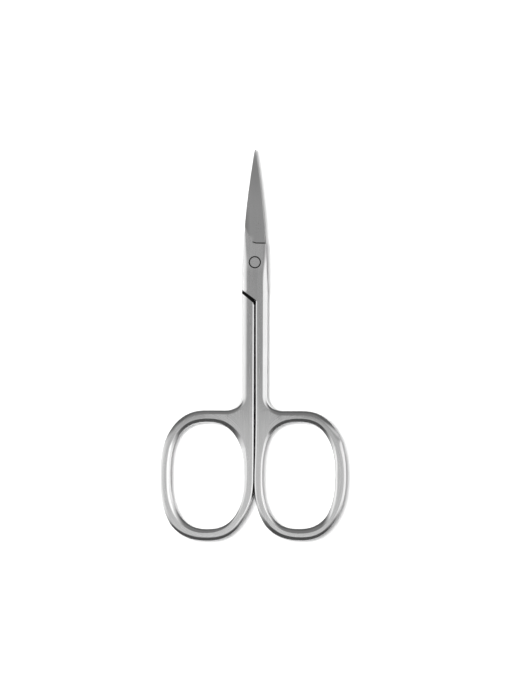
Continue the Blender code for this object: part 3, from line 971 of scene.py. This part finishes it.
class Signal:
    """One value in a shader; an expression on it adds the Math nodes that work it out."""

    def __init__(self, shader: "Shader", socket: bpy.types.NodeSocket) -> None:
        """Wrap a socket of a shader."""
        self.shader = shader
        self.socket = socket

    def _maths(self, operation: str, *values: object) -> "Signal":
        """Add one Math node."""
        node = self.shader.node("ShaderNodeMath", {"operation": operation}, dict(enumerate(values)))
        return Signal(self.shader, node.outputs[0])

    def __add__(self, other: object) -> "Signal":
        """Sum."""
        return self._maths("ADD", self, other)

    __radd__ = __add__

    def __sub__(self, other: object) -> "Signal":
        """Difference."""
        return self._maths("SUBTRACT", self, other)

    def __rsub__(self, other: object) -> "Signal":
        """Difference from a number."""
        return self._maths("SUBTRACT", other, self)

    def __mul__(self, other: object) -> "Signal":
        """Product."""
        return self._maths("MULTIPLY", self, other)

    __rmul__ = __mul__

    def __truediv__(self, other: object) -> "Signal":
        """Quotient."""
        return self._maths("DIVIDE", self, other)

    def root(self) -> "Signal":
        """Square root."""
        return self._maths("SQRT", self)

    def size(self) -> "Signal":
        """Absolute value."""
        return self._maths("ABSOLUTE", self)

    def angle_to(self, other: "Signal") -> "Signal":
        """Angle of the point (other, self) about the origin."""
        return self._maths("ARCTAN2", self, other)

    def rise(self, low: float, high: float) -> "Signal":
        """Smooth rise from 0 at low to 1 at high, or a fall where low is above high.

        Args:
            low: Value at which the share is 0.
            high: Value at which it is 1.

        Returns:
            The share.
        """
        ends = (low, high, 0.0, 1.0) if low < high else (high, low, 1.0, 0.0)
        node = self.shader.node("ShaderNodeMapRange", {"interpolation_type": "SMOOTHSTEP"},
                                dict(enumerate((self, *ends))))
        return Signal(self.shader, node.outputs[0])


class Shader:
    """Node tree of one material, world or lamp."""

    def __init__(self, block: bpy.types.ID) -> None:
        """Start from the block's own Principled, Background or Emission shader."""
        block.use_nodes = True
        self.block = block
        self.tree = block.node_tree
        self.surface = next(node for node in self.tree.nodes
                            if node.type in {"BSDF_PRINCIPLED", "BACKGROUND", "EMISSION"})

    def node(self, kind: str, settings: dict, links: dict) -> bpy.types.Node:
        """Add a node.

        Args:
            kind: Type of the node.
            settings: Properties, which are set first.
            links: Values or signals by the name or number of the socket.

        Returns:
            The node.
        """
        node = self.tree.nodes.new(kind)
        for key, value in settings.items():
            setattr(node, key, value)
        for key, value in links.items():
            self.feed(node.inputs[key], value)
        return node

    def feed(self, socket: bpy.types.NodeSocket, value: object) -> None:
        """Link a signal or socket to a socket, or set its value.

        Args:
            socket: The socket that is fed.
            value: A signal, a socket or a plain value.
        """
        if isinstance(value, Signal):
            self.tree.links.new(value.socket, socket)
        elif isinstance(value, bpy.types.NodeSocket):
            self.tree.links.new(value, socket)
        else:
            socket.default_value = value

    def place(self, kind: str = "Object") -> tuple[Signal, Signal, Signal]:
        """Coordinates of one kind, of which a world's Generated ones are the direction.

        Args:
            kind: Output of the Texture Coordinate node.

        Returns:
            The three coordinates.
        """
        coordinates = self.node("ShaderNodeTexCoord", {}, {})
        parts = self.node("ShaderNodeSeparateXYZ", {}, {0: coordinates.outputs[kind]})
        return tuple(Signal(self, output) for output in parts.outputs)

    def noise(self, x: object, y: object, z: object, detail: float = 2.0) -> Signal:
        """Noise from 0 to 1 at a place whose units are the noise's own.

        Args:
            x: Place along the noise's X.
            y: Place along its Y.
            z: Place along its Z.
            detail: Number of finer layers.

        Returns:
            The noise.
        """
        vector = self.node("ShaderNodeCombineXYZ", {}, {0: x, 1: y, 2: z})
        node = self.node("ShaderNodeTexNoise", {"noise_dimensions": "3D"},
                         {"Vector": vector.outputs[0], "Scale": 1.0, "Detail": detail, "Roughness": 0.55})
        return Signal(self, node.outputs[0])

    def blend(self, share: Signal, first: object, second: object) -> Signal:
        """Mix two colours."""
        node = self.node("ShaderNodeMix", {"data_type": "RGBA"}, {0: share, 6: first, 7: second})
        return Signal(self, node.outputs[2])

    def coats(self, base: float, coats: tuple[tuple[Signal, float], ...]) -> object:
        """Grey with other greys laid over it one after another.

        Args:
            base: The grey below.
            coats: Share and grey of each coat.

        Returns:
            The colour.
        """
        colour = grey(base)
        for share, tone in coats:
            colour = self.blend(share, colour, grey(tone))
        return colour

    def steel(self, colour: Signal, rough: Signal, lines: Signal, relief: float) -> bpy.types.ID:
        """Make the surface bare metal with fine lines.

        Args:
            colour: Its colour.
            rough: Its roughness.
            lines: Height of the lines, from 0 to 1.
            relief: Depth of the lines.

        Returns:
            The material.
        """
        bump = self.node("ShaderNodeBump", {}, {"Strength": 1.0, "Distance": relief, "Height": lines})
        for key, value in (("Base Color", colour), ("Metallic", 1.0), ("Roughness", rough),
                           ("Normal", bump.outputs[0])):
            self.feed(self.surface.inputs[key], value)
        return self.block


@dataclass(frozen=True)
class Brushing:
    """Lines of brushing: their width and length, and how far they change roughness and height."""

    line: float = 0.05 * MM
    run: float = 2.5 * MM
    roughening: float = 0.08
    relief: float = 0.0006 * MM


@dataclass(frozen=True)
class SatinSteel:
    """Satin stainless steel: lengthwise lines on shank and joint, lines round the bow, a ground blade.

    A pair of numbers says where a smooth change starts and where it ends.
    Some colours paint light and shade: darker sides, a paler joint flat, a blade darker at its tip and
    spine and paler at its heel, and painted shade in the gaps at the rivet, the shoulder and the notch.
    """

    layer: Layer
    stock: Stock
    bow: Bow
    grinding: Grinding
    brushing: Brushing
    pale: float = 0.66
    dark: float = 0.60
    # painted light: the joint's top flat is made paler towards the blade
    joint: float = 0.78
    joint_light_share: float = 0.6
    ground: float = 0.53
    # painted shade: the ground blade darkens towards the tip
    ground_tip_shade: float = 0.39
    # painted shade: the ground blade darkens along its spine above the heel
    ground_spine_shade: float = 0.41
    # painted light: the ground blade is paler at its heel, by the notch
    ground_heel_light: float = 0.67
    # painted shade: near-black laid in the gap round the rivet, in the shoulder gap and along the notch
    painted_shade: float = 0.015
    # painted shade: the sides, away from both faces, are darkened to this share of pale
    side: float = 0.70
    roughness: float = 0.26
    blade_roughness: float = 0.30
    rim_roughness: float = 0.13
    streak_roughening: float = 0.10
    streak: float = 0.45 * MM
    streak_run: float = 14.0 * MM
    cloud: float = 4.0 * MM
    cloud_run: float = 6.0 * MM
    cloud_share: float = 0.3
    contrast: Pair = (0.3, 0.7)
    flat_depth: Pair = (0.03 * MM, 0.005 * MM)
    side_shade_depth: Pair = (0.6 * MM, 1.1 * MM)
    joint_light_along: Pair = (-2.4 * MM, -0.8 * MM)
    tip_shade_along: Pair = (12.0 * MM, 26.0 * MM)
    spine_across: Pair = (-1.0 * MM, -2.2 * MM)
    spine_above: Pair = (14.0 * MM, 11.0 * MM)
    spine_below: Pair = (6.0 * MM, 7.0 * MM)
    heel_across: Pair = (-0.1 * MM, -1.0 * MM)
    heel_above: Pair = (6.8 * MM, 5.6 * MM)
    blade_edge: float = 0.1 * MM
    bow_edge: Pair = (1.16, 1.08)
    bow_start: Pair = (2.0 * MM, 4.5 * MM)
    gap_shade_inside: Pair = (1.21 * MM, 1.26 * MM)
    gap_shade_outside: Pair = (1.50 * MM, 1.46 * MM)
    pit_edge: float = 0.03 * MM
    pit_corner: Pair = (1.4 * MM, 0.5 * MM)
    pit_corner_depth: float = 0.30 * MM
    pit_side: Pair = (0.02 * MM, 0.1 * MM)
    pit_face: Pair = (0.02 * MM, 0.06 * MM)
    pit_own: Pair = (0.32 * MM, 0.26 * MM)
    pit_other: Pair = (0.2 * MM, 0.1 * MM)
    line_place: float = 0.15 * MM
    line_width: Pair = (0.18 * MM, 0.08 * MM)
    line_end: Pair = (-0.1 * MM, 0.4 * MM)
    line_height: Pair = (0.4 * MM, 0.5 * MM)
    line_share: float = 0.9

    def shoulder_gap_shade(self, x: Signal, y: Signal, z: Signal) -> Signal:
        """Share of the bottom and walls of the shoulder gap, on both faces, that get painted shade.

        The gap lies between y = crotch + (half gap + |x|) tan(angle) for the shoulder and for the shank's
        end. Near the crotch the shank's end is rounded, so that the dark reaches further down.

        Args:
            x: Place across, with the shank to the right.
            y: Place along.
            z: Height, from the half's hidden face.

        Returns:
            1 inside the gap, 0 elsewhere.
        """
        stock, soft = self.stock, self.pit_edge
        half = stock.plate / 2.0
        across = x.size() + stock.crotch_half_gap
        above = y - across * math.tan(stock.shoulder_angle) + stock.crotch_reach
        below = y - across * math.tan(stock.gap_angle) + (stock.crotch_reach + stock.gap_at_crotch)
        corner = x.size().rise(*self.pit_corner) * self.pit_corner_depth
        strip = above.rise(2.0 * soft, soft) * (below + corner).rise(-2.0 * soft, -soft)
        inside = x.size().rise(*(stock.shoulder_half_width - inset for inset in self.pit_side))
        deep = (z - half).size().rise(*(half - inset for inset in self.pit_face))
        own = x.rise(*self.pit_own)
        other = z.rise(*(stock.lap_face + over for over in self.pit_other))
        return strip * inside * deep * (own + other - own * other)

    def notch_line_shade(self, x: Signal, y: Signal, z: Signal) -> Signal:
        """Share of the painted shade line in the corner between the joint's face and the ground blade.

        Args:
            x: Place across, with the shank to the right.
            y: Place along.
            z: Height, from the half's hidden face.

        Returns:
            Up to 1 on the line, 0 elsewhere.
        """
        stock, grind = self.stock, self.grinding
        line = y - x.rise(*grind.curl_range) * grind.notch_curl - (stock.notch_reach + self.line_place)
        return (line.size().rise(*self.line_width) * x.rise(*(end - grind.heel for end in self.line_end))
                * z.rise(*(stock.lap_face + over for over in self.line_height)) * self.line_share)

    def round_bow(self, x: Signal, y: Signal) -> tuple[Signal, Signal, Signal]:
        """Place about the bow, as polar coordinates stretched to its shape.

        Args:
            x: Place across, with the shank to the right.
            y: Place along.

        Returns:
            Distance from the bow's centre, way round it, and the share of the bow, 1 on its ring.
        """
        centre, half = self.bow.centre, self.bow.width / 2.0
        across = (x - centre[0]) / half
        along = (y - centre[1]) / (self.bow.length / 2.0)
        radius = (across * across + along * along).root() * half
        turn = along.size().angle_to(across) * half
        return radius, turn, (radius / half).rise(*self.bow_edge) * x.rise(*self.bow_start)

    def blade_share(self, x: Signal, y: Signal) -> Signal:
        """Share of the ground blade, which ends at the notch and at the slant of the run-out.

        Args:
            x: Place across, with the shank to the right.
            y: Place along.

        Returns:
            1 on the blade, 0 elsewhere.
        """
        stock, heel, soft = self.stock, self.grinding.heel, self.blade_edge
        slant = (stock.spine_reach - heel) / (stock.runout_reach - stock.notch_reach)
        return (y.rise(stock.notch_reach, stock.notch_reach + soft)
                * (x + (y - stock.notch_reach) * slant).rise(-heel - soft, -heel + soft))

    def brushed(self, place: tuple[Signal, ...], width: float, run: float, detail: float = 2.0) -> Signal:
        """Noise drawn out along the shank, and round the bow where the bow is.

        Args:
            place: x, y, z, distance from the bow's centre, way round it and share of the bow.
            width: Width of a line.
            run: Length of a line.
            detail: Octaves of the noise.

        Returns:
            The noise, from 0 to 1.
        """
        x, y, z, radius, turn, bow = place
        straight = x.shader.noise(x / width, y / run, z / width, detail)
        return straight + (x.shader.noise(radius / width, turn / run, z / width, detail) - straight) * bow

    def material(self, name: str) -> bpy.types.Material:
        """Make the material.

        Args:
            name: Name of the material.

        Returns:
            The material.
        """
        shader, brushing = Shader(bpy.data.materials.new(name)), self.brushing
        x, y, z = shader.place()
        x = x * float(self.layer.value)
        place = (x, y, z, *self.round_bow(x, y))
        blade = self.blade_share(x, y)
        handle = self.brushed(place, brushing.line, brushing.run)
        crossed = shader.noise(x / brushing.run, y / brushing.line, z / brushing.line)
        lines = handle + (crossed - handle) * blade
        streaks = self.brushed(place, self.streak, self.streak_run, 3.0)
        cloud = shader.noise(x / self.cloud, y / self.cloud_run, z / self.cloud)
        half = self.stock.plate / 2.0
        depth = half - (z - half).size()
        flat = depth.rise(*self.flat_depth)
        tone = streaks * (1.0 - self.cloud_share) + cloud * self.cloud_share
        steel = shader.coats(self.dark, (
            (tone.rise(*self.contrast), self.pale),
            # painted shade: the sides are darkened, except on the blade
            (depth.rise(*self.side_shade_depth) * (1.0 - blade), self.side * self.pale),
            # painted light: a paler top flat on the joint
            (y.rise(*self.joint_light_along) * flat * self.joint_light_share, self.joint)))
        ground = shader.coats(self.ground, (
            # painted shade towards the tip of the blade
            (y.rise(*self.tip_shade_along), self.ground_tip_shade),
            # painted shade along the spine of the blade
            (x.rise(*self.spine_across) * y.rise(*self.spine_above) * y.rise(*self.spine_below),
             self.ground_spine_shade),
            # painted light at the heel of the blade
            (x.rise(*self.heel_across) * y.rise(*self.heel_above), self.ground_heel_light)))
        # painted shade: a dark ring in the gap round the rivet, with the shoulder gap and the notch line
        pin = (x * x + y * y).root()
        painted_shade = pin.rise(*self.gap_shade_inside) * pin.rise(*self.gap_shade_outside)
        height = z if self.layer is Layer.FRONT else self.stock.plate - z
        painted_shade_share = painted_shade + self.shoulder_gap_shade(x, y, height) + self.notch_line_shade(x, y, height)
        colour = shader.blend(painted_shade_share, shader.blend(blade, steel, ground), grey(self.painted_shade))
        rough = (self.roughness + (streaks - 0.5) * self.streak_roughening
                 + (lines - 0.5) * brushing.roughening + blade * (self.blade_roughness - self.roughness)
                 + (1.0 - flat) * (1.0 - blade) * (self.rim_roughness - self.roughness))
        return shader.steel(colour, rough, lines, brushing.relief)


@dataclass(frozen=True)
class RivetSteel:
    """Steel of the rivet, its head ground with the joint's face."""

    brushing: Brushing
    colour: float = 0.68
    pale: float = 1.05
    # painted shade: a dark ring at the rim of the head, in its gap to the bore
    painted_shade: float = 0.02
    gap_shade_range: Pair = (1.17 * MM, 1.22 * MM)
    roughness: float = 0.27

    def material(self, name: str) -> bpy.types.Material:
        """Make the material.

        Args:
            name: Name of the material.

        Returns:
            The material.
        """
        shader, brushing = Shader(bpy.data.materials.new(name)), self.brushing
        x, y, z = shader.place()
        lines = shader.noise(x / brushing.line, y / brushing.run, z / brushing.line)
        # painted shade at the rim of the head
        edge = (x * x + y * y).root().rise(*self.gap_shade_range)
        colour = shader.coats(self.colour, ((lines, self.pale * self.colour), (edge, self.painted_shade)))
        rough = self.roughness + (lines - 0.5) * brushing.roughening
        return shader.steel(colour, rough, lines, brushing.relief)


# ---------------------------------------------------------------- studio


@dataclass(frozen=True)
class SoftBox:
    """One rectangular lamp that faces a point; only a graded one is seen in reflections.

    Its grading lists the radiance at the near end, that at the far end, and the y of both.
    """

    name: str
    place: tuple[float, float, float]
    target: tuple[float, float, float]
    size: Pair
    radiance: float
    grading: tuple[float, float, float, float] | None = None

    def build(self) -> None:
        """Add the lamp: its power is pi times its area times its radiance."""
        data = bpy.data.lights.new(self.name, "AREA")
        data.shape = "RECTANGLE"
        data.size, data.size_y = self.size
        data.energy = math.pi * self.size[0] * self.size[1] * self.radiance
        lamp = bpy.data.objects.new(self.name, data)
        bpy.context.scene.collection.objects.link(lamp)
        lamp.location = self.place
        away = Vector(self.target) - Vector(self.place)
        lamp.rotation_euler = away.to_track_quat("-Z", "Y").to_euler()
        lamp.visible_camera = False
        lamp.visible_glossy = self.grading is not None
        if self.grading:
            self.grade(data)

    def grade(self, data: bpy.types.Light) -> None:
        """Let the lamp's radiance change smoothly along Y.

        Args:
            data: The lamp's data.
        """
        high, low, start, end = self.grading
        shader = Shader(data)
        position = shader.node("ShaderNodeNewGeometry", {}, {}).outputs["Position"]
        parts = shader.node("ShaderNodeSeparateXYZ", {}, {0: position})
        share = Signal(shader, parts.outputs[1]).rise(start, end)
        shader.feed(shader.surface.inputs["Strength"], share * (low - high) + high)


@dataclass(frozen=True)
class Studio:
    """Pale table, key lamp, graded canopy, tented room and the camera straight above.

    A wall lists the x of the direction where its light starts and that where it is full, and wall_ends
    the |y| where it is gone and where it is full. Each change lists its light and the two y likewise.
    """

    floor_size: float = 6.0
    floor_drop: float = 1e-5
    floor_plain: float = 0.60
    floor_white: float = 0.76
    camera_height: float = 0.90
    pixel: float = 0.2431 * MM
    image: tuple[int, int] = (510, 680)
    pivot_pixel: Pair = (254.85, 262.45)
    lean: float = 0.0034
    sensor: float = 36.0
    overhead: float = 0.30
    wall_light: float = 1.05
    walls: Table = ((0.20, 0.55), (0.0, -1.0))
    wall_ends: Pair = (0.60, 0.14)
    changes: Table = ((-0.12, 0.0, 0.6), (0.08, 0.0, -0.4), (-0.27, -0.42, -0.72))

    def build(self) -> None:
        """Add floor, lamps, room and camera."""
        self.floor()
        SoftBox("key_box", place=(-0.155, 0.05, 0.50), target=(0.0, -0.02, 0.0), size=(0.22, 0.27),
                radiance=22.0).build()
        SoftBox("canopy", place=(0.0, -0.028, 0.07), target=(0.0, -0.028, 0.0), size=(0.11, 0.176),
                radiance=1.0, grading=(0.46, 0.10, -0.044, -0.032)).build()
        self.room()
        self.camera()

    def floor(self) -> None:
        """A pale floor that the camera and reflections see as white, with the object's shadow."""
        half, height = self.floor_size / 2.0, -self.floor_drop
        mesh = bpy.data.meshes.new("floor")
        mesh.from_pydata([(x * half, y * half, height) for x, y in ((-1, -1), (1, -1), (1, 1), (-1, 1))],
                         [], [(0, 1, 2, 3)])
        floor = bpy.data.objects.new("floor", mesh)
        bpy.context.scene.collection.objects.link(floor)
        shader = Shader(bpy.data.materials.new("white_table"))
        path = shader.node("ShaderNodeLightPath", {}, {})
        camera, glossy, through = (Signal(shader, path.outputs[kind])
                                   for kind in ("Is Camera Ray", "Is Glossy Ray", "Is Transmission Ray"))
        colour = shader.coats(self.floor_plain, ((camera + glossy + through, self.floor_white),))
        matt = shader.node("ShaderNodeBsdfDiffuse", {}, {"Color": colour})
        output = next(node for node in shader.tree.nodes if node.type == "OUTPUT_MATERIAL")
        shader.feed(output.inputs["Surface"], matt.outputs[0])
        mesh.materials.append(shader.block)

    def room(self) -> None:
        """A tent of white cloth.

        Its light in direction (x, y, z) is that overhead, plus a bright wall at the right and at the
        left where |y| is small, less towards +Y, a little more towards -Y and least low down there.
        """
        world = bpy.data.worlds.new("studio")
        bpy.context.scene.world = world
        shader = Shader(world)
        x, y, _ = shader.place("Generated")
        wall = y.size().rise(*self.wall_ends)
        right, left = (x.rise(*ends) * wall * self.wall_light for ends in self.walls)
        light = right + left
        for change, start, end in self.changes:
            light = light + y.rise(start, end) * change
        shader.feed(shader.surface.inputs["Strength"], light + self.overhead)
        shader.surface.inputs["Color"].default_value = grey(1.0)

    def camera(self) -> None:
        """A long lens straight above, turned by the lean of the object in the picture."""
        wide, high = self.image
        data = bpy.data.cameras.new("camera")
        data.sensor_width = self.sensor
        data.lens = self.sensor * self.camera_height / (high * self.pixel)
        camera = bpy.data.objects.new("camera", data)
        bpy.context.scene.collection.objects.link(camera)
        right = (wide / 2.0 - self.pivot_pixel[0]) * self.pixel
        up = (self.pivot_pixel[1] - high / 2.0) * self.pixel
        centre = Matrix.Rotation(self.lean, 3, "Z") @ Vector((right, up, 0.0))
        camera.location = (centre.x, centre.y, self.camera_height)
        camera.rotation_euler = (0.0, 0.0, self.lean)
        bpy.context.scene.camera = camera


# ---------------------------------------------------------------- assembly


def dress(item: bpy.types.Object, material: bpy.types.Material, body: str, node: str) -> None:
    """Give a piece its material and put it in the place of its CAD node.

    Args:
        item: The piece.
        material: Its finish.
        body: CAD body that it rides on.
        node: CAD node that it replaces.
    """
    item.data.materials.clear()
    item.data.materials.append(material)
    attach(item, body)
    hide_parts(node)
    LOG.info("%s: %d faces", item.name, len(item.data.polygons))


def main() -> None:
    """Build the scissors round the frame, then the studio."""
    logging.basicConfig(level=logging.INFO)
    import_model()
    stock, grinding, brushing = Stock(), Grinding(), Brushing()
    rivet = PivotRivet(stock)
    pieces = bpy.data.collections.new("scissors")
    bpy.context.scene.collection.children.link(pieces)
    for layer, name, bore, bow, width, rim in (
            (Layer.FRONT, "front_half", rivet.front_bore(), RIGHT_BOW, 3.15 * MM, Rim(1.40 * MM, 0.0, 90.0)),
            (Layer.BACK, "back_half", rivet.back_bore(), LEFT_BOW, 3.12 * MM, Rim(1.45 * MM, 0.0, 89.0))):
        blank = ScissorHalf(layer, stock, bow, Rims(rim), grinding, width, pieces)
        half = blank.build(name + "_satin", bore)
        finish = SatinSteel(layer, stock, bow, grinding, brushing).material(name + "_satin_steel")
        dress(half, finish, name, name)
    dress(rivet.build("rivet_turned", pieces), RivetSteel(brushing).material("rivet_turned_steel"),
          "back_half", "pivot_rivet")
    Studio().build()
    bpy.context.scene.view_settings.view_transform = "Standard"


if __name__ == "__main__":
    main()
